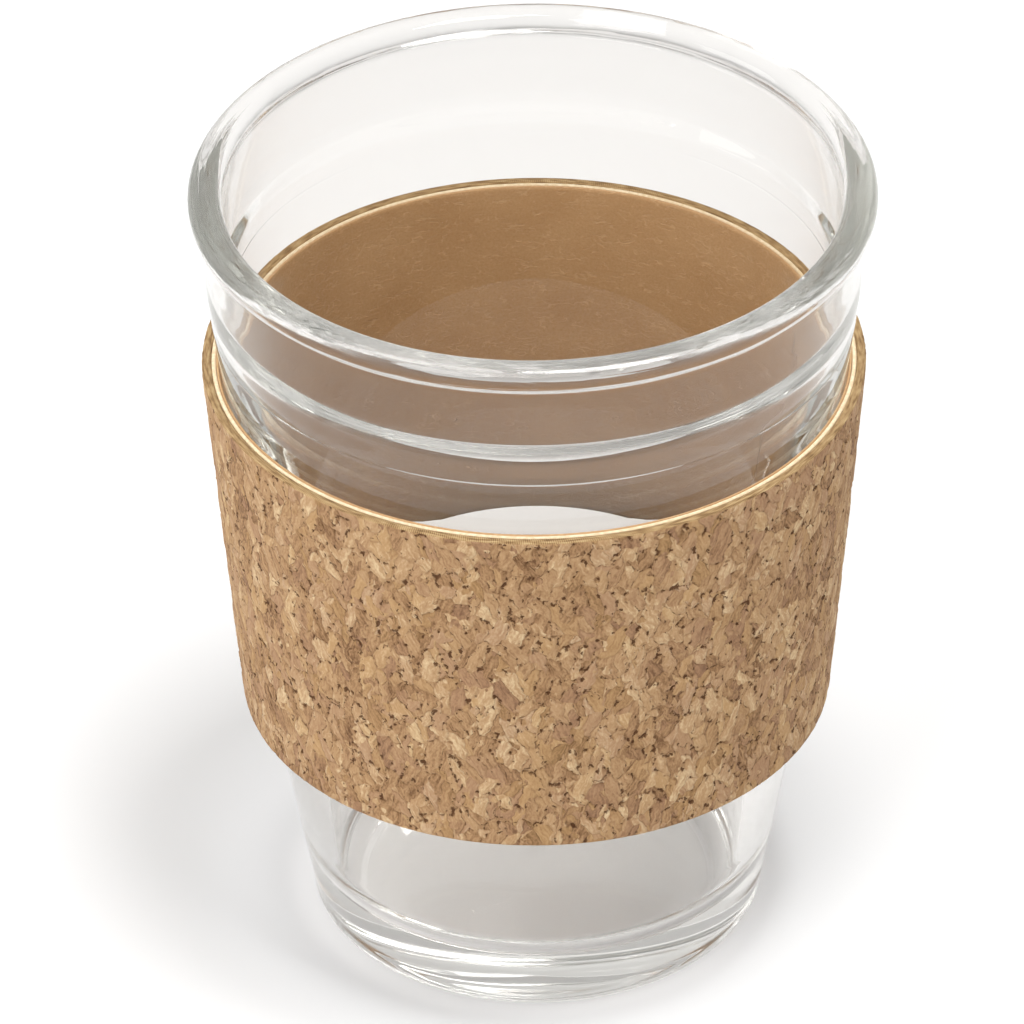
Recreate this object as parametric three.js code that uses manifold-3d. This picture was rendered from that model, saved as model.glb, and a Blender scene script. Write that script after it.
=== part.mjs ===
// A pressed-glass tumbler with a slip-on cork sleeve, in millimetres, +Z up.
// The origin is on the cup's axis, on the surface that the cup stands on, and the viewer is on the -Y side.
import * as THREE from 'three';
import { mergeVertices } from 'three/addons/utils/BufferGeometryUtils.js';
import Module from 'manifold-3d';

const wasm = await Module();
wasm.setup();

const FACETS = 72;

// Tumbler, outside
const CUP_HEIGHT = 110;
const RIM_RADIUS = 44;
const BEAD_OUTER_RADIUS = 1.85;
const BEAD_INNER_RADIUS = 1.7;
const BEAD_FLAT = 0.85;
const FOOT_RING_OUTER = 26.2;
const FOOT_RING_INNER = 22.6;
const FOOT_CORNER_RADIUS = 3.5;
const PUNT_DEPTH = 1.3;
const WALL_FOOT = { r: 29.7, z: 4 };
const WALL_BEND = { r: 37.3, z: 42 };
const WALL_SHOULDER = { r: 40.3, z: 83 };
const WALL_PARTING = { r: 41.35, z: 91.3 };
const WALL_SWELL = { r: 41.95, z: 96 };
const WALL_NECK = { r: 42.15, z: 101 };
const NECK_TOP = { r: 42.25, z: 105.7 };

// Tumbler, inside
const BORE_MOUTH = { r: 39.75, z: 104.5 };
const LEDGE_TOP = { r: 39.6, z: 97 };
const LEDGE_KNEE = { r: 38.85, z: 95.15 };
const LEDGE_FOOT = { r: 38.5, z: 93.65 };
const BORE_BELOW_LEDGE = { r: 38.25, z: 91.5 };
const BORE_SHOULDER = { r: 36.37, z: 80.5 };
const BORE_BEND = { r: 32.3, z: 54 };
const BORE_FOOT = { r: 26.6, z: 13.4 };
const FLOOR_HEIGHT = 7.2;
const FLOOR_CROWN = 0.6;

// Sleeve, a laminated strip wrapped into a cone and butted at one seam
const SLEEVE_TOP = 83.5;
const SLEEVE_BOTTOM = 33.3;
const SLEEVE_TOP_RADIUS = 42.65;
const SLEEVE_BOTTOM_RADIUS = 38.25;
const CORK_THICKNESS = 1.15;
const BACKING_THICKNESS = 0.55;
const LINING_THICKNESS = 0.3;
const GLUE_GAP = 0.05;
const SEAM_GAP = 0.4;
const SEAM_ANGLE = THREE.MathUtils.degToRad(22);

const glassFinish = new THREE.MeshStandardMaterial({
  color: 0xeef0ee, roughness: 0.03, metalness: 0, transparent: true, opacity: 0.35,
});
const corkFinish = new THREE.MeshStandardMaterial({ color: 0xac8a67, roughness: 0.9, metalness: 0 });
const backingFinish = new THREE.MeshStandardMaterial({ color: 0xf5e6c8, roughness: 0.95, metalness: 0 });
const liningFinish = new THREE.MeshStandardMaterial({ color: 0x95704c, roughness: 0.55, metalness: 0 });

function point({ r, z }) {
  return new THREE.Vector2(r, z);
}

// Points of an arc from one angle to another, both in degrees from the outward direction.
function arc(centreR, centreZ, radius, fromDegrees, toDegrees, steps) {
  return Array.from({ length: steps + 1 }, (_, i) => {
    const angle = THREE.MathUtils.degToRad(THREE.MathUtils.lerp(fromDegrees, toDegrees, i / steps));
    return new THREE.Vector2(centreR + radius * Math.cos(angle), centreZ + radius * Math.sin(angle));
  });
}

function bend(from, control, to, steps) {
  return new THREE.QuadraticBezierCurve(point(from), point(control), point(to)).getPoints(steps);
}

// LatheGeometry turns about Y, so its axis is stood up along Z.
function lathe(profile) {
  return new THREE.LatheGeometry(profile, FACETS).rotateX(Math.PI / 2);
}

function named(name, geometry, material) {
  const mesh = new THREE.Mesh(geometry, material);
  mesh.name = name;
  return mesh;
}

function toSolid(geometry) {
  const bare = geometry.clone();
  bare.deleteAttribute('normal');
  bare.deleteAttribute('uv');
  const merged = mergeVertices(bare, 1e-4);
  return new wasm.Manifold(new wasm.Mesh({
    numProp: 3,
    vertProperties: Float32Array.from(merged.attributes.position.array),
    triVerts: Uint32Array.from(merged.index.array),
  }));
}

function toGeometry(solid) {
  const { vertProperties, triVerts } = solid.getMesh();
  const geometry = new THREE.BufferGeometry();
  geometry.setAttribute('position', new THREE.BufferAttribute(vertProperties, 3));
  geometry.setIndex(new THREE.BufferAttribute(triVerts, 1));
  geometry.computeVertexNormals();
  return geometry;
}

function tumbler() {
  const beadCentreR = RIM_RADIUS - BEAD_OUTER_RADIUS;
  const footCorner = arc(FOOT_RING_OUTER, FOOT_CORNER_RADIUS, FOOT_CORNER_RADIUS, -90, -14, 6);
  const outside = bend(WALL_FOOT, WALL_BEND, WALL_SHOULDER, 10);
  const beadOutside = arc(beadCentreR, CUP_HEIGHT - BEAD_OUTER_RADIUS, BEAD_OUTER_RADIUS, -80, 90, 11);
  const beadInside = arc(beadCentreR - BEAD_FLAT, CUP_HEIGHT - BEAD_INNER_RADIUS, BEAD_INNER_RADIUS, 90, 190, 7);
  const ledge = [BORE_MOUTH, LEDGE_TOP, LEDGE_KNEE, LEDGE_FOOT, BORE_BELOW_LEDGE].map(point);
  const inside = bend(BORE_SHOULDER, BORE_BEND, BORE_FOOT, 8);
  const floorCornerRadius = BORE_FOOT.z - FLOOR_HEIGHT;
  const floorCorner = arc(BORE_FOOT.r - floorCornerRadius, BORE_FOOT.z, floorCornerRadius, -12, -90, 5);
  const profile = [
    new THREE.Vector2(0, PUNT_DEPTH),
    new THREE.Vector2(FOOT_RING_INNER * 0.5, PUNT_DEPTH * 0.75),
    new THREE.Vector2(FOOT_RING_INNER, 0),
    ...footCorner,
    ...outside,
    point(WALL_PARTING),
    point(WALL_SWELL),
    point(WALL_NECK),
    point(NECK_TOP),
    ...beadOutside,
    ...beadInside,
    ...ledge,
    ...inside,
    ...floorCorner,
    new THREE.Vector2(0, FLOOR_HEIGHT - FLOOR_CROWN),
  ];
  return named('glass_tumbler', lathe(profile), glassFinish);
}

function sleeveRadius(z) {
  const t = (z - SLEEVE_BOTTOM) / (SLEEVE_TOP - SLEEVE_BOTTOM);
  return THREE.MathUtils.lerp(SLEEVE_BOTTOM_RADIUS, SLEEVE_TOP_RADIUS, t);
}

// A conical band between two depths below the sleeve's outer face, slit at the seam.
function sleeveLayer(name, outerDepth, thickness, material) {
  const top = sleeveRadius(SLEEVE_TOP) - outerDepth;
  const bottom = sleeveRadius(SLEEVE_BOTTOM) - outerDepth;
  const band = lathe([
    new THREE.Vector2(bottom - thickness, SLEEVE_BOTTOM),
    new THREE.Vector2(bottom, SLEEVE_BOTTOM),
    new THREE.Vector2(top, SLEEVE_TOP),
    new THREE.Vector2(top - thickness, SLEEVE_TOP),
    new THREE.Vector2(bottom - thickness, SLEEVE_BOTTOM),
  ]);
  const slit = new THREE.BoxGeometry(2 * RIM_RADIUS, SEAM_GAP, CUP_HEIGHT)
    .translate(RIM_RADIUS, 0, CUP_HEIGHT / 2)
    .rotateZ(SEAM_ANGLE);
  return named(name, toGeometry(toSolid(band).subtract(toSolid(slit))), material);
}

const backingDepth = CORK_THICKNESS + GLUE_GAP;
const liningDepth = backingDepth + BACKING_THICKNESS + GLUE_GAP;

const sleeve = new THREE.Group();
sleeve.add(
  sleeveLayer('cork_sheet', 0, CORK_THICKNESS, corkFinish),
  sleeveLayer('sleeve_backing', backingDepth, BACKING_THICKNESS, backingFinish),
  sleeveLayer('sleeve_lining', liningDepth, LINING_THICKNESS, liningFinish),
);

const cup = new THREE.Group();
cup.add(tumbler(), sleeve);

export default cup;
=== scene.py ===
"""A pressed-glass tumbler with a slip-on cork sleeve, in soft studio light."""
import math

import bpy
import numpy as np
from mathutils import Euler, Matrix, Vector


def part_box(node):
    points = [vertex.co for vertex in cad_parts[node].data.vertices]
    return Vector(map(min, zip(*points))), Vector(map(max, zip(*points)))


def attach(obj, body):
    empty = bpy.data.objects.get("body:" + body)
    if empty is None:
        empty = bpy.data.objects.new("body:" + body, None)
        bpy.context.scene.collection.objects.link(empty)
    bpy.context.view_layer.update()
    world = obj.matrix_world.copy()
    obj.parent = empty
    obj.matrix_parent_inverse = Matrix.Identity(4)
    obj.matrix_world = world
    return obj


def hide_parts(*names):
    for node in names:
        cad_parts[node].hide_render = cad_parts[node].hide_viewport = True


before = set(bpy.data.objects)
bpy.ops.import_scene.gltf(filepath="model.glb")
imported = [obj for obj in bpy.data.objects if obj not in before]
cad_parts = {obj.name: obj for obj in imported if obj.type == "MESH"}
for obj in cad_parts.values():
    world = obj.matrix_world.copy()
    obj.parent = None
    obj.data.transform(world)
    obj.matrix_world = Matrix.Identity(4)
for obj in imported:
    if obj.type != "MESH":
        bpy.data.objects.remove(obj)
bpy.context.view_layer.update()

# All shapes are worked out in millimetres and written to meshes in metres.
MM = 0.001

# The tumbler, as (radius, height) points
CUP_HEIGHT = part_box("glass_tumbler")[1].z / MM
RIM_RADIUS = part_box("glass_tumbler")[1].x / MM
BEAD_OUTER_RADIUS = 1.85
BEAD_INNER_RADIUS = 1.7
BEAD_FLAT = 0.85
FOOT_RING_OUTER = 26.2
FOOT_RING_INNER = 22.6
FOOT_CORNER_RADIUS = 3.5
PUNT_DEPTH = 1.3
WALL_FOOT = (29.7, 4.0)
WALL_BEND = (37.3, 42.0)
WALL_SHOULDER = (40.3, 83.0)
WALL_PARTING = (41.35, 91.3)
WALL_SWELL = (41.95, 96.0)
WALL_NECK = (42.15, 101.0)
NECK_TOP = (42.25, 105.7)
PARTING_PROUD = 0.03
PARTING_WIDTH = 0.12
BORE_MOUTH = (39.75, 104.5)
LEDGE_TOP = (39.6, 97.0)
LEDGE_KNEE = (38.85, 95.15)
LEDGE_FOOT = (38.5, 93.65)
BORE_BELOW_LEDGE = (38.25, 91.5)
BORE_SHOULDER = (36.37, 80.5)
BORE_BEND = (32.3, 54.0)
BORE_FOOT = (26.6, 13.4)
FLOOR_HEIGHT = 7.2
FLOOR_CROWN = 0.6

# The tumbler's mesh: the outline is softened at an even spacing, then thinned where the wall is plain.
# The rim zone lies above its height, and the foot zone below its height and outside its radius.
TUMBLER_SEGMENTS = 256
SOFTENING_SPACING = 0.2
SOFTENING_PASSES = 4
TIGHT_SPACING = 0.25
PLAIN_SPACING = 1.0
RIM_ZONE = 90
FOOT_ZONE = 9
FOOT_ZONE_RADIUS = 20

# Pressed glass has slow swells round its wall. Their shares, at each height, are largest near the foot.
RIPPLE = 0.045
RIPPLE_WAVES = range(2, 12)
RIPPLE_CLIMB = 0.09
RIPPLE_HEIGHTS = (0, 20, 90, 108)
RIPPLE_SHARES = (1.5, 1.0, 0.6, 0.3)
RIPPLE_RADIUS = 40

# The sleeve: cork on a cream backing on a tan lining, wound into a cone and butted at one seam
SLEEVE_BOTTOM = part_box("cork_sheet")[0].z / MM
SLEEVE_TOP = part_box("cork_sheet")[1].z / MM
SLEEVE_TOP_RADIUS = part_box("cork_sheet")[1].x / MM
SLEEVE_BOTTOM_RADIUS = SLEEVE_TOP_RADIUS - 4.4
CORK_THICKNESS = 1.15
BACKING_THICKNESS = 0.55
LINING_THICKNESS = 0.3
GLUE_GAP = 0.05
BACKING_DEPTH = CORK_THICKNESS + GLUE_GAP
LINING_DEPTH = BACKING_DEPTH + BACKING_THICKNESS + GLUE_GAP
SEAM_ANGLE = math.radians(22)
SEAM_GAP = 0.4
EDGE_BREAK = 0.12
LINING_EDGE_BREAK = 0.06

# Relief of the cork and the lining, in millimetres
FLAKE_CROWN = 0.1
FLAKE_STEP = 0.07
CREVICE_DEPTH = 0.16
RELIEF_FADE = (0.2, 1.2)
RELIEF_AT_EDGE = 0.3
CREASE_DEPTH = 0.035
RIB_PITCH = 0.26

# The glass. A shadow tint is what light keeps on its way through a stretch of the wall to another surface.
# A pair is where one stretch turns into the next, as heights in metres.
GLASS_COLOUR = (0.86, 0.846, 0.828, 1.0)
GLASS_SHINE = (0.7, 0.7, 0.7, 1.0)
GLASS_IOR = 1.5
GLASS_BODY_COLOUR = (0.38, 0.4, 0.33, 1.0)
GLASS_BODY_DENSITY = 3.5
GLASS_BOUNCES = 200
CLEAR_BOUNCES = 24
CHILL_MARKS = 0.015
CHILL_MARKS_FADE = (0.103, 0.1065)
SHADOW_THROUGH_FLOOR = (0.99, 0.99, 0.99, 1.0)
SHADOW_THROUGH_LOWER_WALL = (0.42, 0.42, 0.43, 1.0)
SHADOW_THROUGH_UPPER_WALL = (0.96, 0.96, 0.96, 1.0)
FLOOR_TO_LOWER_WALL = (0.008, 0.009)
LOWER_TO_UPPER_WALL = (0.032, 0.042)

# The room. The sky's values are strengths; low and high are how far up its upper part starts and ends.
FLOOR_COLOUR = (0.88, 0.88, 0.88, 1.0)
FLOOR_REACH = 6000
SKY_COLOUR = (1.0, 0.995, 0.985, 1.0)
SKY_LOW = 0.1
SKY_HIGH = 0.6
SKY_HORIZON = 1.05
SKY_ZENITH = 0.4
SKY_BACKDROP = 0.85
SKY_LEFT = 1.1
SKY_RIGHT = 0.88

# The camera
CAMERA_LENS = 421.9
CAMERA_AIM = (-0.003, 0, 0.059)
CAMERA_ELEVATION = math.radians(34.56)
CAMERA_DISTANCE = 1.5557
CAMERA_ROLL = math.radians(-0.5)


def srgb(red, green, blue):
    """A colour given as 0 to 255, as Blender's linear RGBA."""
    parts = [value / 255 for value in (red, green, blue)]
    return (*[p / 12.92 if p <= 0.04045 else ((p + 0.055) / 1.055) ** 2.4 for p in parts], 1.0)


# Outlines

def bend(start, control, end, steps):
    """Points of a quadratic curve."""
    start, control, end = map(np.array, (start, control, end))
    t = np.linspace(0, 1, steps)[:, None]
    return (1 - t) ** 2 * start + 2 * t * (1 - t) * control + t ** 2 * end


def arc(centre, radius, first, last, steps=24):
    """Points of a circle's arc, between two angles in degrees from the outward direction."""
    angle = np.radians(np.linspace(first, last, steps))
    return np.c_[centre[0] + radius * np.cos(angle), centre[1] + radius * np.sin(angle)]


def resampled(outline, spacing):
    """The outline with its points set at the given spacing, which may change along it."""
    length = np.r_[0, np.cumsum(np.hypot(*np.diff(outline, axis=0).T))]
    count = np.r_[0, np.cumsum(np.diff(length) / spacing)]
    even = np.linspace(0, count[-1], int(count[-1]) + 1)
    at = np.interp(even, count, length)
    return np.c_[np.interp(at, length, outline[:, 0]), np.interp(at, length, outline[:, 1])]


def softened(outline, passes):
    """The outline with its corners rounded by repeated averaging of neighbours."""
    for _ in range(passes):
        outline[1:-1] = 0.25 * outline[:-2] + 0.5 * outline[1:-1] + 0.25 * outline[2:]
    return outline


def coarse_outline():
    """The tumbler's half section, from the middle of its underside round the rim to its floor's middle."""
    dome = np.linspace(0, FOOT_RING_INNER, 20)
    underside = np.c_[dome, PUNT_DEPTH * (1 - (dome / FOOT_RING_INNER) ** 2)]
    foot = arc((FOOT_RING_OUTER, FOOT_CORNER_RADIUS), FOOT_CORNER_RADIUS, -90, -14)
    wall = bend(WALL_FOOT, WALL_BEND, WALL_SHOULDER, 60)
    neck = [WALL_PARTING, WALL_SWELL, WALL_NECK, NECK_TOP]
    outer_centre = (RIM_RADIUS - BEAD_OUTER_RADIUS, CUP_HEIGHT - BEAD_OUTER_RADIUS)
    inner_centre = (outer_centre[0] - BEAD_FLAT, CUP_HEIGHT - BEAD_INNER_RADIUS)
    bead_outside = arc(outer_centre, BEAD_OUTER_RADIUS, -80, 90, 40)
    bead_inside = arc(inner_centre, BEAD_INNER_RADIUS, 90, 190, 30)
    ledge = [BORE_MOUTH, LEDGE_TOP, LEDGE_KNEE, LEDGE_FOOT, BORE_BELOW_LEDGE]
    bore = bend(BORE_SHOULDER, BORE_BEND, BORE_FOOT, 60)
    corner_radius = BORE_FOOT[1] - FLOOR_HEIGHT
    corner = arc((BORE_FOOT[0] - corner_radius, BORE_FOOT[1]), corner_radius, -6, -90)
    middle = [(0, FLOOR_HEIGHT - FLOOR_CROWN)]
    outside = [underside, foot, wall, neck, bead_outside]
    inside = [bead_inside, ledge, bore, corner, middle]
    return np.concatenate(outside + inside)


def tumbler_outline():
    """The half section with its corners softened and a fine parting line left by the mould."""
    fine = softened(resampled(coarse_outline(), SOFTENING_SPACING), SOFTENING_PASSES)
    radius, height = fine.T
    tight = (height > RIM_ZONE) | (height < FOOT_ZONE) & (radius > FOOT_ZONE_RADIUS)
    parting = (abs(height - WALL_PARTING[1]) < 4 * PARTING_WIDTH) & (radius > LEDGE_TOP[0])
    spacing = np.where(parting, PARTING_WIDTH / 2, np.where(tight, TIGHT_SPACING, PLAIN_SPACING))[1:]
    fine = resampled(fine, spacing)
    rise = (fine[:, 1] - WALL_PARTING[1]) / PARTING_WIDTH
    fine[:, 0] += PARTING_PROUD * np.exp(-rise ** 2) * (fine[:, 0] > LEDGE_TOP[0])
    return fine


# Meshes

def new_piece(name, points, faces):
    """A smooth mesh object from points in millimetres."""
    mesh = bpy.data.meshes.new(name)
    mesh.from_pydata((np.asarray(points) * MM).tolist(), [], faces)
    mesh.polygons.foreach_set("use_smooth", [True] * len(mesh.polygons))
    piece = bpy.data.objects.new(name, mesh)
    bpy.context.scene.collection.objects.link(piece)
    return piece


def add_attribute(piece, label, vectors):
    """Gives each of the piece's points a named vector."""
    attribute = piece.data.attributes.new(label, "FLOAT_VECTOR", "POINT")
    attribute.data.foreach_set("vector", vectors.ravel())


def bridged(rows, columns, closed):
    """Quads between each row of points and the next, with the rows' ends joined when closed."""
    steps = columns if closed else columns - 1
    row, column = np.meshgrid(np.arange(rows - 1), np.arange(steps), indexing="ij")
    beside = (column + 1) % columns
    quads = np.stack([row * columns + column, row * columns + beside,
                      (row + 1) * columns + beside, (row + 1) * columns + column], axis=-1)
    return quads.reshape(-1, 4).tolist()


def turned(outline, angles):
    """Rows of points made by turning each outline point about the axis."""
    radius, height = outline.T
    return np.stack([radius[:, None] * np.cos(angles), radius[:, None] * np.sin(angles),
                     np.repeat(height[:, None], len(angles), axis=1)], axis=-1)


def pressed_ripple(points, rng):
    """The points moved out and in by slow swells of a few hundredths of a millimetre."""
    angle = np.arctan2(points[..., 1], points[..., 0])
    height = points[..., 2]
    swell = np.zeros_like(height)
    for waves in RIPPLE_WAVES:
        start, climb = rng.uniform(0, 2 * math.pi), rng.uniform(-RIPPLE_CLIMB, RIPPLE_CLIMB)
        swell += np.cos(waves * angle + climb * height + start) / waves
    size = RIPPLE * np.interp(height, RIPPLE_HEIGHTS, RIPPLE_SHARES)
    growth = 1 + swell * size / RIPPLE_RADIUS
    return points * np.stack([growth, growth, np.ones_like(swell)], axis=-1)


def tumbler():
    """The turned glass. Its flow attribute runs round the ring in x and z, and along the outline in y."""
    outline = tumbler_outline()
    angles = np.arange(TUMBLER_SEGMENTS) * 2 * math.pi / TUMBLER_SEGMENTS
    rows = pressed_ripple(turned(outline[1:-1], angles), np.random.default_rng(4))
    count = rows.shape[0] * TUMBLER_SEGMENTS
    points = [*rows.reshape(-1, 3), (0, 0, outline[0, 1]), (0, 0, outline[-1, 1])]
    faces = bridged(rows.shape[0], TUMBLER_SEGMENTS, True)
    last_row = count - TUMBLER_SEGMENTS
    for here in range(TUMBLER_SEGMENTS):
        beside = (here + 1) % TUMBLER_SEGMENTS
        faces.append((count, beside, here))
        faces.append((count + 1, last_row + here, last_row + beside))
    piece = new_piece("pressed_glass_tumbler", points, faces)
    along = np.r_[0, np.cumsum(np.hypot(*np.diff(outline, axis=0).T))]
    ring = np.c_[np.full(len(along), RIM_RADIUS), along]
    flow = turned(ring, angles)[1:-1, :, [0, 2, 1]].reshape(-1, 3)
    add_attribute(piece, "flow", np.concatenate([flow, [(0, along[0], 0), (0, along[-1], 0)]]))
    return piece


def sleeve_radius(height):
    """The cork's outer radius at a height."""
    return np.interp(height, [SLEEVE_BOTTOM, SLEEVE_TOP], [SLEEVE_BOTTOM_RADIUS, SLEEVE_TOP_RADIUS])


def band(name, depth, thickness, columns, outer_rows, inner_rows, edge=EDGE_BREAK):
    """A conical band of the sleeve, closed all round, with its two ends meeting at the seam.

    Its strip attribute holds the distance round, the distance up and the depth, all in millimetres.
    Its push attribute points out of each wide face, and is nothing on the cut edges.
    """
    outer_heights = np.linspace(SLEEVE_BOTTOM + edge, SLEEVE_TOP - edge, outer_rows)
    inner_heights = np.linspace(SLEEVE_TOP - edge, SLEEVE_BOTTOM + edge, inner_rows)
    section = [(height, 0.0, 1) for height in outer_heights]
    section += [(SLEEVE_TOP, inset, 0) for inset in (edge, thickness / 2, thickness - edge)]
    section += [(height, thickness, -1) for height in inner_heights]
    section += [(SLEEVE_BOTTOM, inset, 0) for inset in (thickness - edge, thickness / 2, edge)]
    height, inset, side = np.array(section).T
    radius = sleeve_radius(height) - depth - inset
    gap = SEAM_GAP / 2 / SLEEVE_TOP_RADIUS
    angles = np.linspace(SEAM_ANGLE + gap, SEAM_ANGLE + 2 * math.pi - gap, columns)
    rows = turned(np.c_[radius, height], angles)
    size = len(height)
    last_row = (size - 1) * columns
    faces = bridged(size, columns, False)
    faces += [(last_row + c, last_row + c + 1, c + 1, c) for c in range(columns - 1)]
    faces.append([r * columns for r in range(size)])
    faces.append([r * columns + columns - 1 for r in reversed(range(size))])
    piece = new_piece(name, rows.reshape(-1, 3), faces)
    strip = np.zeros(rows.shape)
    strip[..., 0] = (angles - SEAM_ANGLE) * (SLEEVE_TOP_RADIUS + SLEEVE_BOTTOM_RADIUS) / 2
    strip[..., 1] = height[:, None]
    strip[..., 2] = inset[:, None]
    push = np.zeros(rows.shape)
    push[..., 0] = np.cos(angles) * side[:, None]
    push[..., 1] = np.sin(angles) * side[:, None]
    add_attribute(piece, "strip", strip)
    add_attribute(piece, "push", push)
    return piece


# Node trees. The same functions make the relief in a geometry tree and the colours in a material.

def add(tree, kind, inputs=None, **settings):
    """Adds a node, with its inputs given as values or as the sockets that feed them."""
    made = tree.nodes.new(kind)
    for name, value in settings.items():
        setattr(made, name, value)
    for key, value in (inputs or {}).items():
        if isinstance(value, bpy.types.NodeSocket):
            tree.links.new(value, made.inputs[key])
        else:
            made.inputs[key].default_value = value
    return made


def calc(tree, operation, first, second=0.0):
    """The result of a sum on two numbers, either of which may be a socket."""
    return add(tree, "ShaderNodeMath", {0: first, 1: second}, operation=operation).outputs[0]


def scaled(tree, vector, factors, offset=(0.0, 0.0, 0.0)):
    """A vector times factors, plus an offset."""
    inputs = {0: vector, 1: factors, 2: offset}
    return add(tree, "ShaderNodeVectorMath", inputs, operation="MULTIPLY_ADD").outputs[0]


def spread(tree, value, low, high, start=0.0, end=1.0, smooth=True):
    """The value between low and high, turned into a value between start and end."""
    kind = "SMOOTHSTEP" if smooth else "LINEAR"
    inputs = {"Value": value, "From Min": low, "From Max": high, "To Min": start, "To Max": end}
    return add(tree, "ShaderNodeMapRange", inputs, interpolation_type=kind).outputs[0]


def mixed(tree, factor, first, second):
    """A number between two others."""
    return add(tree, "ShaderNodeMix", {0: factor, 2: first, 3: second}).outputs[0]


def blended(tree, factor, first, second):
    """A colour between two others."""
    return add(tree, "ShaderNodeMix", {0: factor, 6: first, 7: second}, data_type="RGBA").outputs[2]


def noise(tree, place, size, seed=0.0, detail=2.0):
    """Noise from 0 to 1 with features of the given (across, up) size in millimetres."""
    moved = scaled(tree, place, (1 / size[0], 1 / size[1], 1 / size[0]), (seed, 2 * seed, 3 * seed))
    return add(tree, "ShaderNodeTexNoise", {"Vector": moved, "Scale": 1.0, "Detail": detail})


def warped(tree, place, size, amount, seed):
    """The place moved about by noise, by up to half the amount in millimetres."""
    colour = noise(tree, place, (size, size), seed).outputs["Color"]
    shift = scaled(tree, colour, (amount, amount, 0.0), (-amount / 2, -amount / 2, 0.0))
    return add(tree, "ShaderNodeVectorMath", {0: place, 1: shift}, operation="ADD").outputs[0]


def along_strip(tree, place):
    """The distance round, the distance up and the depth of a place, as three sockets."""
    return add(tree, "ShaderNodeSeparateXYZ", {0: place}).outputs


def flakes(tree, place, turn, size, seed):
    """A layer of flakes at one slant: two random numbers for each, the edge distance, and the fibres."""
    slanted = add(tree, "ShaderNodeVectorRotate", {"Vector": place, "Angle": math.radians(turn)},
                  rotation_type="Z_AXIS").outputs[0]
    cell_place = scaled(tree, slanted, (1 / size[0], 1 / size[1], 0.0), (seed, seed, 0.0))
    inputs = {"Vector": cell_place, "Scale": 1.0}
    cells = add(tree, "ShaderNodeTexVoronoi", inputs, voronoi_dimensions="2D")
    edges = add(tree, "ShaderNodeTexVoronoi", inputs, voronoi_dimensions="2D", feature="DISTANCE_TO_EDGE")
    random = add(tree, "ShaderNodeSeparateXYZ", {0: cells.outputs["Color"]})
    along_fibres = scaled(tree, slanted, (3.0, 0.5, 0.0))
    own_place = scaled(tree, cells.outputs["Color"], (9.0, 9.0, 9.0), along_fibres)
    fibres = add(tree, "ShaderNodeTexNoise", {"Vector": own_place, "Scale": 1.0, "Detail": 2.5})
    return {
        "shade": random.outputs[0],
        "hue": random.outputs[1],
        "edge": calc(tree, "MULTIPLY", edges.outputs["Distance"], min(size)),
        "fibre": fibres.outputs[0],
    }


def cork_crevices(tree, place, edge):
    """Where the cork is open, from 0 to 1: cracks between flakes, and ragged pits along their edges."""
    loose = noise(tree, place, (2.8, 3.4), 41.0).outputs[0]
    opening = spread(tree, noise(tree, place, (0.8, 0.8), 43.0).outputs[0], 0.5, 0.8, -0.12, 0.14, False)
    crack = spread(tree, calc(tree, "SUBTRACT", edge, opening), 0.0, 0.1, 1.0, 0.0)
    ragged = noise(tree, warped(tree, place, 0.6, 0.5, 83.0), (0.7, 0.9), 87.0).outputs[0]
    limit = spread(tree, loose, 0.35, 0.65, 0.7, 0.53, False)
    pit = spread(tree, calc(tree, "SUBTRACT", ragged, limit), 0.0, 0.045)
    pit = calc(tree, "MULTIPLY", pit, spread(tree, edge, 0.15, 0.4, 1.0, 0.0))
    return calc(tree, "MAXIMUM", calc(tree, "MULTIPLY", crack, 0.6), pit)


def cork_fields(tree, place):
    """What the cork is like at a place on its strip: slanted flakes, with crevices between some."""
    moved = warped(tree, place, 1.6, 1.3, 5.0)
    right = flakes(tree, moved, 20, (1.9, 4.6), 3.0)
    left = flakes(tree, moved, -24, (1.8, 4.0), 11.0)
    chips = flakes(tree, moved, 4, (1.1, 1.6), 23.0)
    side = spread(tree, noise(tree, place, (3.4, 4.4), 7.0).outputs[0], 0.49, 0.51)
    crumbled = spread(tree, noise(tree, place, (2.6, 3.0), 31.0).outputs[0], 0.62, 0.64)
    found = {}
    for key in right:
        found[key] = mixed(tree, crumbled, mixed(tree, side, right[key], left[key]), chips[key])
    found["crevice"] = cork_crevices(tree, place, found["edge"])
    found["patch"] = noise(tree, place, (9.0, 9.0), 53.0).outputs[0]
    return found


def cork_relief(tree, place):
    """Height of the cork's face in millimetres, fading near the cut edges."""
    cork = cork_fields(tree, place)
    crown = spread(tree, cork["edge"], 0.0, 0.5, 0.0, FLAKE_CROWN)
    stand = spread(tree, cork["shade"], 0.0, 1.0, -FLAKE_STEP, FLAKE_STEP, False)
    hollow = calc(tree, "MULTIPLY", cork["crevice"], -CREVICE_DEPTH)
    height = calc(tree, "ADD", calc(tree, "ADD", crown, stand), hollow)
    near, far = RELIEF_FADE
    up = along_strip(tree, place)[1]
    from_top = spread(tree, up, SLEEVE_TOP - far, SLEEVE_TOP - near, 1.0, RELIEF_AT_EDGE)
    from_bottom = spread(tree, up, SLEEVE_BOTTOM + near, SLEEVE_BOTTOM + far, RELIEF_AT_EDGE, 1.0)
    return calc(tree, "MULTIPLY", height, calc(tree, "MULTIPLY", from_top, from_bottom))


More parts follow.
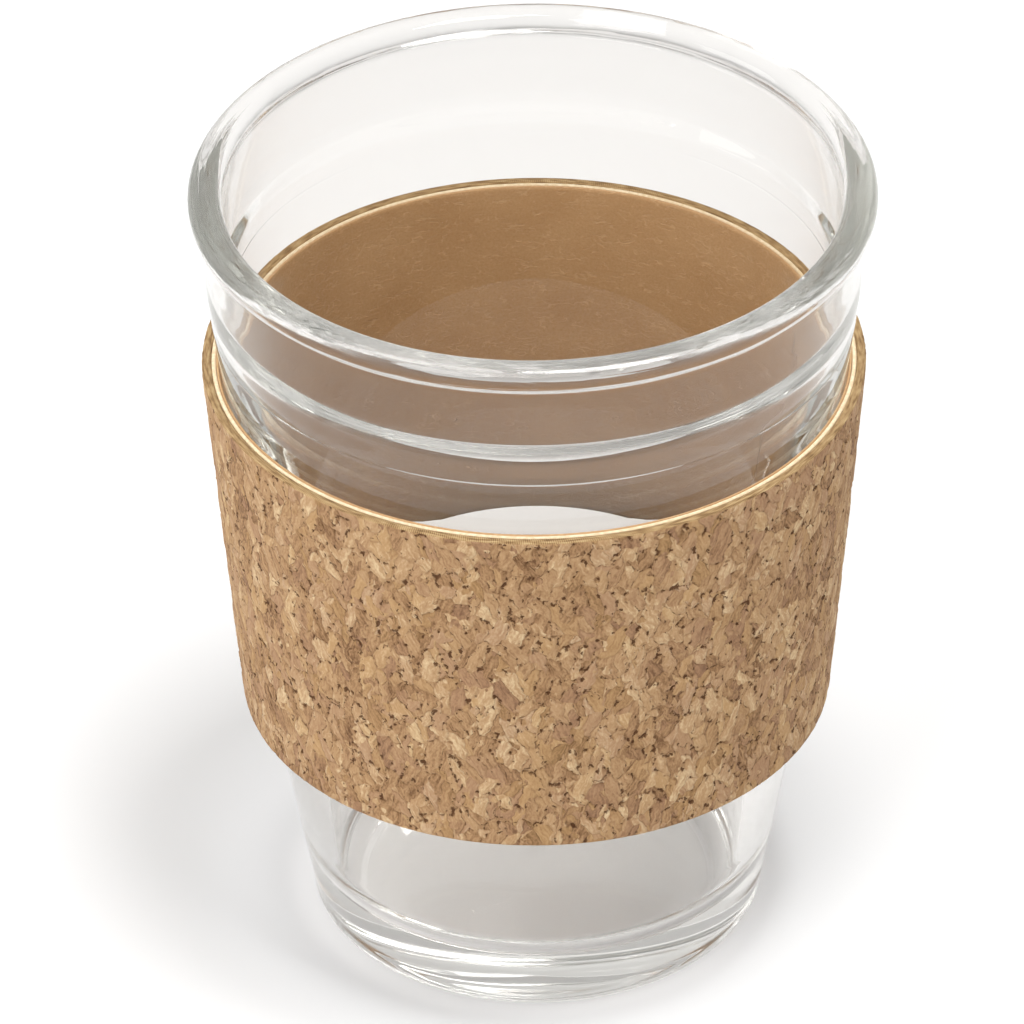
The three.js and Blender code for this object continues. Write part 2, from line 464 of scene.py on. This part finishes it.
def leather_creases(tree, place):
    """The fine wandering creases of the lining's grain, from 0 between them to 1 in one."""
    wrinkle = noise(tree, warped(tree, place, 1.4, 0.9, 61.0), (2.0, 0.7), 65.0, 1.5).outputs[0]
    away = calc(tree, "ABSOLUTE", calc(tree, "SUBTRACT", wrinkle, 0.5))
    crease = spread(tree, away, 0.0, 0.045, 1.0, 0.0)
    where = spread(tree, noise(tree, place, (3.0, 1.4), 67.0).outputs[0], 0.42, 0.62, 0.1, 1.0)
    return calc(tree, "MULTIPLY", crease, where)


def leather_relief(tree, place):
    """Height of the lining's face in millimetres: nothing but in its creases."""
    return calc(tree, "MULTIPLY", leather_creases(tree, place), -CREASE_DEPTH)


def with_relief(piece, height):
    """Moves the piece's faces by the height function, as real geometry."""
    tree = bpy.data.node_groups.new(piece.name, "GeometryNodeTree")
    tree.interface.new_socket("Geometry", in_out="INPUT", socket_type="NodeSocketGeometry")
    tree.interface.new_socket("Geometry", in_out="OUTPUT", socket_type="NodeSocketGeometry")
    start = tree.nodes.new("NodeGroupInput")
    end = tree.nodes.new("NodeGroupOutput")
    place, push = [add(tree, "GeometryNodeInputNamedAttribute", {"Name": label},
                       data_type="FLOAT_VECTOR").outputs[0] for label in ("strip", "push")]
    metres = calc(tree, "MULTIPLY", height(tree, place), MM)
    offset = add(tree, "ShaderNodeVectorMath", {0: push, "Scale": metres}, operation="SCALE").outputs[0]
    moved = add(tree, "GeometryNodeSetPosition", {"Geometry": start.outputs[0], "Offset": offset})
    tree.links.new(moved.outputs[0], end.inputs[0])
    piece.modifiers.new("relief", "NODES").node_group = tree
    graph = bpy.context.evaluated_depsgraph_get()
    mesh = bpy.data.meshes.new_from_object(piece.evaluated_get(graph), preserve_all_data_layers=True,
                                           depsgraph=graph)
    piece.modifiers.clear()
    piece.data = mesh
    return piece


# Materials

def new_material(name, roughness, colour=None, **values):
    """A Principled material, with its tree, shader and output. Values are even settings of the shader."""
    made = bpy.data.materials.new(name)
    made.use_nodes = True
    tree = made.node_tree
    tree.nodes.clear()
    shader = tree.nodes.new("ShaderNodeBsdfPrincipled")
    end = add(tree, "ShaderNodeOutputMaterial", {"Surface": shader.outputs[0]})
    shader.inputs["Roughness"].default_value = roughness
    if colour:
        shader.inputs["Base Color"].default_value = colour
    for key, value in values.items():
        shader.inputs[key.replace("_", " ")].default_value = value
    return made, tree, shader, end


def colour_ramp(tree, value, stops):
    """Colours along a value, as (position, colour) pairs."""
    ramp = add(tree, "ShaderNodeValToRGB", {0: value})
    while len(ramp.color_ramp.elements) < len(stops):
        ramp.color_ramp.elements.new(0.5)
    for element, (position, colour) in zip(ramp.color_ramp.elements, stops):
        element.position = position
        element.color = colour
    return ramp.outputs[0]


def bumped(tree, shader, height):
    """Feeds a height in millimetres to the shader's normal."""
    bump = add(tree, "ShaderNodeBump", {"Height": height, "Distance": MM, "Strength": 1.0})
    tree.links.new(bump.outputs[0], shader.inputs["Normal"])


def strip_place(tree):
    """The place on the flat strip that a point of the sleeve comes from."""
    return add(tree, "ShaderNodeAttribute", attribute_name="strip").outputs["Vector"]


def glass_material():
    """Clear soda-lime glass, faintly grey, with the fine lines that pressing draws along the rim.

    Light on its way to another surface goes straight through, with a tint for each stretch of the wall.
    """
    made, tree, shader, end = new_material("clear_glass", 0.0, GLASS_COLOUR, Transmission_Weight=1.0,
                                           IOR=GLASS_IOR, Specular_Tint=GLASS_SHINE)
    inside = {"Color": GLASS_BODY_COLOUR, "Density": GLASS_BODY_DENSITY}
    body = add(tree, "ShaderNodeVolumeAbsorption", inside)
    tree.links.new(body.outputs[0], end.inputs["Volume"])
    flow = add(tree, "ShaderNodeAttribute", attribute_name="flow").outputs["Vector"]
    place = add(tree, "ShaderNodeNewGeometry").outputs["Position"]
    height = add(tree, "ShaderNodeSeparateXYZ", {0: place}).outputs[2]
    near_rim = spread(tree, height, *CHILL_MARKS_FADE)
    lines = spread(tree, noise(tree, flow, (22.0, 0.45), 3.0, 1.5).outputs[0], 0.4, 0.6)
    where = spread(tree, noise(tree, flow, (11.0, 2.2), 17.0).outputs[0], 0.4, 0.6, 0.15, 1.0)
    marks = calc(tree, "MULTIPLY", calc(tree, "MULTIPLY", lines, where), near_rim)
    bumped(tree, shader, calc(tree, "MULTIPLY", marks, CHILL_MARKS))
    in_wall = spread(tree, height, *FLOOR_TO_LOWER_WALL)
    low_tint = blended(tree, in_wall, SHADOW_THROUGH_FLOOR, SHADOW_THROUGH_LOWER_WALL)
    tint = blended(tree, spread(tree, height, *LOWER_TO_UPPER_WALL), low_tint, SHADOW_THROUGH_UPPER_WALL)
    light_path = add(tree, "ShaderNodeLightPath").outputs
    lighting = calc(tree, "MAXIMUM", light_path["Is Shadow Ray"], light_path["Is Diffuse Ray"])
    passing = add(tree, "ShaderNodeBsdfTransparent", {0: tint})
    shown = add(tree, "ShaderNodeMixShader", {0: lighting, 1: shader.outputs[0], 2: passing.outputs[0]})
    tree.links.new(shown.outputs[0], end.inputs["Surface"])
    return made


def cork_material():
    """Pressed cork granules: slanted flakes of many tans, fibres along each flake, and crevices painted
    dark, partly for the cork's darker pores and partly as painted shade in the hollows.
    """
    made, tree, shader, _ = new_material("cork_face", 0.85, Specular_IOR_Level=0.25)
    place = strip_place(tree)
    cork = cork_fields(tree, place)
    shade = calc(tree, "MULTIPLY", cork["shade"], 0.5)
    tone = calc(tree, "ADD", shade, calc(tree, "MULTIPLY", cork["fibre"], 0.95))
    speck = noise(tree, place, (0.3, 0.45), 67.0, 3.0).outputs[0]
    tone = calc(tree, "ADD", tone, spread(tree, speck, 0.3, 0.7, -0.1, 0.1, False))
    tone = calc(tree, "ADD", tone, spread(tree, cork["patch"], 0.3, 0.7, -0.3, -0.16, False))
    tans = colour_ramp(tree, tone, [
        (0.05, srgb(98, 68, 42)),
        (0.28, srgb(142, 108, 75)),
        (0.45, srgb(162, 128, 92)),
        (0.65, srgb(174, 141, 104)),
        (0.95, srgb(203, 178, 141)),
    ])
    rosy = blended(tree, spread(tree, cork["hue"], 0.6, 1.0, 0.0, 0.35), tans, srgb(150, 114, 92))
    golden = blended(tree, spread(tree, cork["hue"], 0.0, 0.35, 0.35, 0.0), rosy, srgb(176, 140, 92))
    edged = blended(tree, spread(tree, cork["edge"], 0.0, 0.16, 0.26, 0.0), golden, srgb(104, 70, 40))
    # The crevices' dark brown is partly the cork's own darker pores and partly painted shade inside the
    # hollows.
    dark = blended(tree, calc(tree, "MULTIPLY", cork["crevice"], 0.9), edged, srgb(76, 44, 18))
    tree.links.new(dark, shader.inputs["Base Color"])
    fine = noise(tree, place, (0.25, 0.35), 71.0, 3.0).outputs[0]
    fibres = calc(tree, "MULTIPLY", cork["fibre"], 0.06)
    grain = calc(tree, "ADD", fibres, calc(tree, "MULTIPLY", fine, 0.02))
    crown = spread(tree, cork["edge"], 0.0, 0.2, 0.0, 0.05)
    hollow = calc(tree, "MULTIPLY", cork["crevice"], -0.12)
    bumped(tree, shader, calc(tree, "ADD", calc(tree, "ADD", grain, crown), hollow))
    return made


def cut_cork_material():
    """The cork sheet's cut edge: golden, streaked along its length and finely ribbed by the knife, with
    painted shade in the ribs' grooves and painted light on their crests.
    """
    made, tree, shader, _ = new_material("cork_cut_edge", 0.8, Specular_IOR_Level=0.2)
    place = strip_place(tree)
    around, _, depth = along_strip(tree, place)
    turn = calc(tree, "MULTIPLY", around, 2 * math.pi / RIB_PITCH)
    slant = calc(tree, "ADD", turn, calc(tree, "MULTIPLY", depth, 3.0))
    rib = spread(tree, calc(tree, "SINE", slant), -1.0, 1.0, 0.0, 1.0, False)
    streak_place = scaled(tree, place, (0.45, 0.0, 3.2))
    streak = add(tree, "ShaderNodeTexNoise", {"Vector": streak_place, "Scale": 1.0, "Detail": 3.0})
    # Painted shade and light: the ribs' crests are painted lighter and their grooves darker.
    tone = calc(tree, "ADD", streak.outputs[0], spread(tree, rib, 0.0, 1.0, -0.09, 0.09, False))
    golds = colour_ramp(tree, tone, [
        (0.28, srgb(104, 78, 50)),
        (0.42, srgb(142, 112, 76)),
        (0.55, srgb(168, 139, 98)),
        (0.75, srgb(192, 166, 124)),
    ])
    tree.links.new(golds, shader.inputs["Base Color"])
    bumped(tree, shader, calc(tree, "MULTIPLY", rib, 0.03))
    return made


def backing_material():
    """Cream fleece backing: short matted fibres."""
    made, tree, shader, _ = new_material("cream_backing", 0.9, Specular_IOR_Level=0.2)
    fleece = noise(tree, strip_place(tree), (0.5, 0.3), 5.0, 4.0).outputs[0]
    tone = blended(tree, spread(tree, fleece, 0.3, 0.7), srgb(222, 198, 160), srgb(240, 222, 190))
    tree.links.new(tone, shader.inputs["Base Color"])
    bumped(tree, shader, calc(tree, "MULTIPLY", fleece, 0.06))
    return made


def lining_material():
    """Tan leatherette with fine pores, and a painted highlight that makes its creases paler."""
    made, tree, shader, _ = new_material("tan_lining", 0.5, Specular_IOR_Level=0.4)
    place = strip_place(tree)
    crease = leather_creases(tree, place)
    cloud = noise(tree, place, (14.0, 9.0), 3.0).outputs[0]
    pores = noise(tree, place, (0.35, 0.3), 9.0, 3.0).outputs[0]
    base = blended(tree, spread(tree, cloud, 0.3, 0.7), srgb(188, 148, 103), srgb(197, 158, 113))
    speckled = blended(tree, spread(tree, pores, 0.35, 0.7, 0.0, 0.3), base, srgb(166, 117, 73))
    # Painted highlight: the creases are painted paler than the leather round them.
    with_painted_crease_highlight = blended(tree, calc(tree, "MULTIPLY", crease, 0.28), speckled, srgb(232, 196, 152))
    tree.links.new(with_painted_crease_highlight, shader.inputs["Base Color"])
    tree.links.new(spread(tree, pores, 0.3, 0.7, 0.42, 0.6), shader.inputs["Roughness"])
    hollow = calc(tree, "MULTIPLY", crease, 0.03)
    bumped(tree, shader, calc(tree, "SUBTRACT", calc(tree, "MULTIPLY", pores, 0.02), hollow))
    return made


def paint(piece, body, node, slot, *materials):
    """Gives a piece its materials and its body, and hides the CAD node it stands for. The slot argument is
    not used.
    """
    for material in materials:
        piece.data.materials.append(material)
    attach(piece, body)
    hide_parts(node)


def edge_faces_use_second(piece):
    """Gives the piece's cut edges, where nothing pushes outwards, its second material."""
    push = np.zeros(len(piece.data.vertices) * 3)
    piece.data.attributes["push"].data.foreach_get("vector", push)
    on_wide_face = np.abs(push.reshape(-1, 3)).sum(axis=1) > 0.5
    for face in piece.data.polygons:
        if len(face.vertices) > 4 or not all(on_wide_face[corner] for corner in face.vertices):
            face.material_index = 1


# The room: a pale floor, a soft sky and three lamps

def floor():
    """A wide, plain, pale floor."""
    corners = [(x * FLOOR_REACH, y * FLOOR_REACH, 0) for x, y in ((-1, -1), (1, -1), (1, 1), (-1, 1))]
    piece = new_piece("floor", corners, [(0, 1, 2, 3)])
    piece.data.materials.append(new_material("floor_paint", 0.9, FLOOR_COLOUR)[0])


def sky():
    """White near the horizon, dimmer overhead in front than behind, and a little brighter on the left."""
    world = bpy.data.worlds.new("studio")
    bpy.context.scene.world = world
    world.use_nodes = True
    tree = world.node_tree
    tree.nodes.clear()
    toward = add(tree, "ShaderNodeSeparateXYZ", {0: add(tree, "ShaderNodeTexCoord").outputs["Generated"]})
    right, back, up = toward.outputs
    overhead = spread(tree, back, 0.0, 0.5, SKY_ZENITH, SKY_BACKDROP)
    by_height = mixed(tree, spread(tree, up, SKY_LOW, SKY_HIGH), SKY_HORIZON, overhead)
    by_side = spread(tree, right, -1.0, 1.0, SKY_LEFT, SKY_RIGHT, False)
    strength = calc(tree, "MULTIPLY", by_height, by_side)
    light = add(tree, "ShaderNodeBackground", {0: SKY_COLOUR, 1: strength})
    add(tree, "ShaderNodeOutputWorld", {0: light.outputs[0]})


def lamp(name, place, target, width, height, radiance):
    """A soft box whose face shows the given radiance."""
    light = bpy.data.lights.new(name, "AREA")
    light.shape = "RECTANGLE"
    light.size = width
    light.size_y = height
    light.energy = radiance * math.pi * width * height
    piece = bpy.data.objects.new(name, light)
    bpy.context.scene.collection.objects.link(piece)
    piece.location = place
    piece.rotation_euler = (Vector(target) - Vector(place)).to_track_quat("-Z", "Y").to_euler()


def camera():
    """A long lens from the front and above, with the slight roll of a hand-set camera."""
    lens = bpy.data.cameras.new("camera")
    lens.lens = CAMERA_LENS
    lens.sensor_width = 36
    lens.clip_end = 50
    piece = bpy.data.objects.new("camera", lens)
    bpy.context.scene.collection.objects.link(piece)
    aim = Vector(CAMERA_AIM)
    away = Vector((0, -math.cos(CAMERA_ELEVATION), math.sin(CAMERA_ELEVATION)))
    piece.location = aim + away * CAMERA_DISTANCE
    facing = (aim - piece.location).to_track_quat("-Z", "Y")
    piece.rotation_mode = "QUATERNION"
    piece.rotation_quaternion = facing @ Euler((0, 0, CAMERA_ROLL)).to_quaternion()
    bpy.context.scene.camera = piece


paint(tumbler(), "glass", "glass_tumbler", "clear_glass", glass_material())

cork = band("cork_granule_sheet", 0, CORK_THICKNESS, 690, 136, 3)
cork = with_relief(cork, cork_relief)
paint(cork, "sleeve", "cork_sheet", "cork", cork_material(), cut_cork_material())
edge_faces_use_second(cork)

backing = band("cream_backing_strip", BACKING_DEPTH, BACKING_THICKNESS, 360, 8, 8)
paint(backing, "sleeve", "sleeve_backing", "cream_backing", backing_material())

lining = band("tan_leatherette_lining", LINING_DEPTH, LINING_THICKNESS, 520, 3, 100, LINING_EDGE_BREAK)
lining = with_relief(lining, leather_relief)
paint(lining, "sleeve", "sleeve_lining", "tan_lining", lining_material())

floor()
sky()
lamp("key", (0.17, -0.17, 0.9), (0, 0, 0), 0.3, 0.36, 15.4)
lamp("left_fill", (-1.5, -0.3, 0.36), (0, 0, 0.05), 0.9, 1.2, 2.6)
lamp("front_fill", (-0.75, -1.16, 1.16), (0, 0, 0.05), 0.8, 0.8, 5.3)
camera()

scene = bpy.context.scene
scene.view_settings.view_transform = "Standard"
scene.cycles.max_bounces = GLASS_BOUNCES
scene.cycles.transmission_bounces = GLASS_BOUNCES
scene.cycles.glossy_bounces = GLASS_BOUNCES
scene.cycles.transparent_max_bounces = CLEAR_BOUNCES
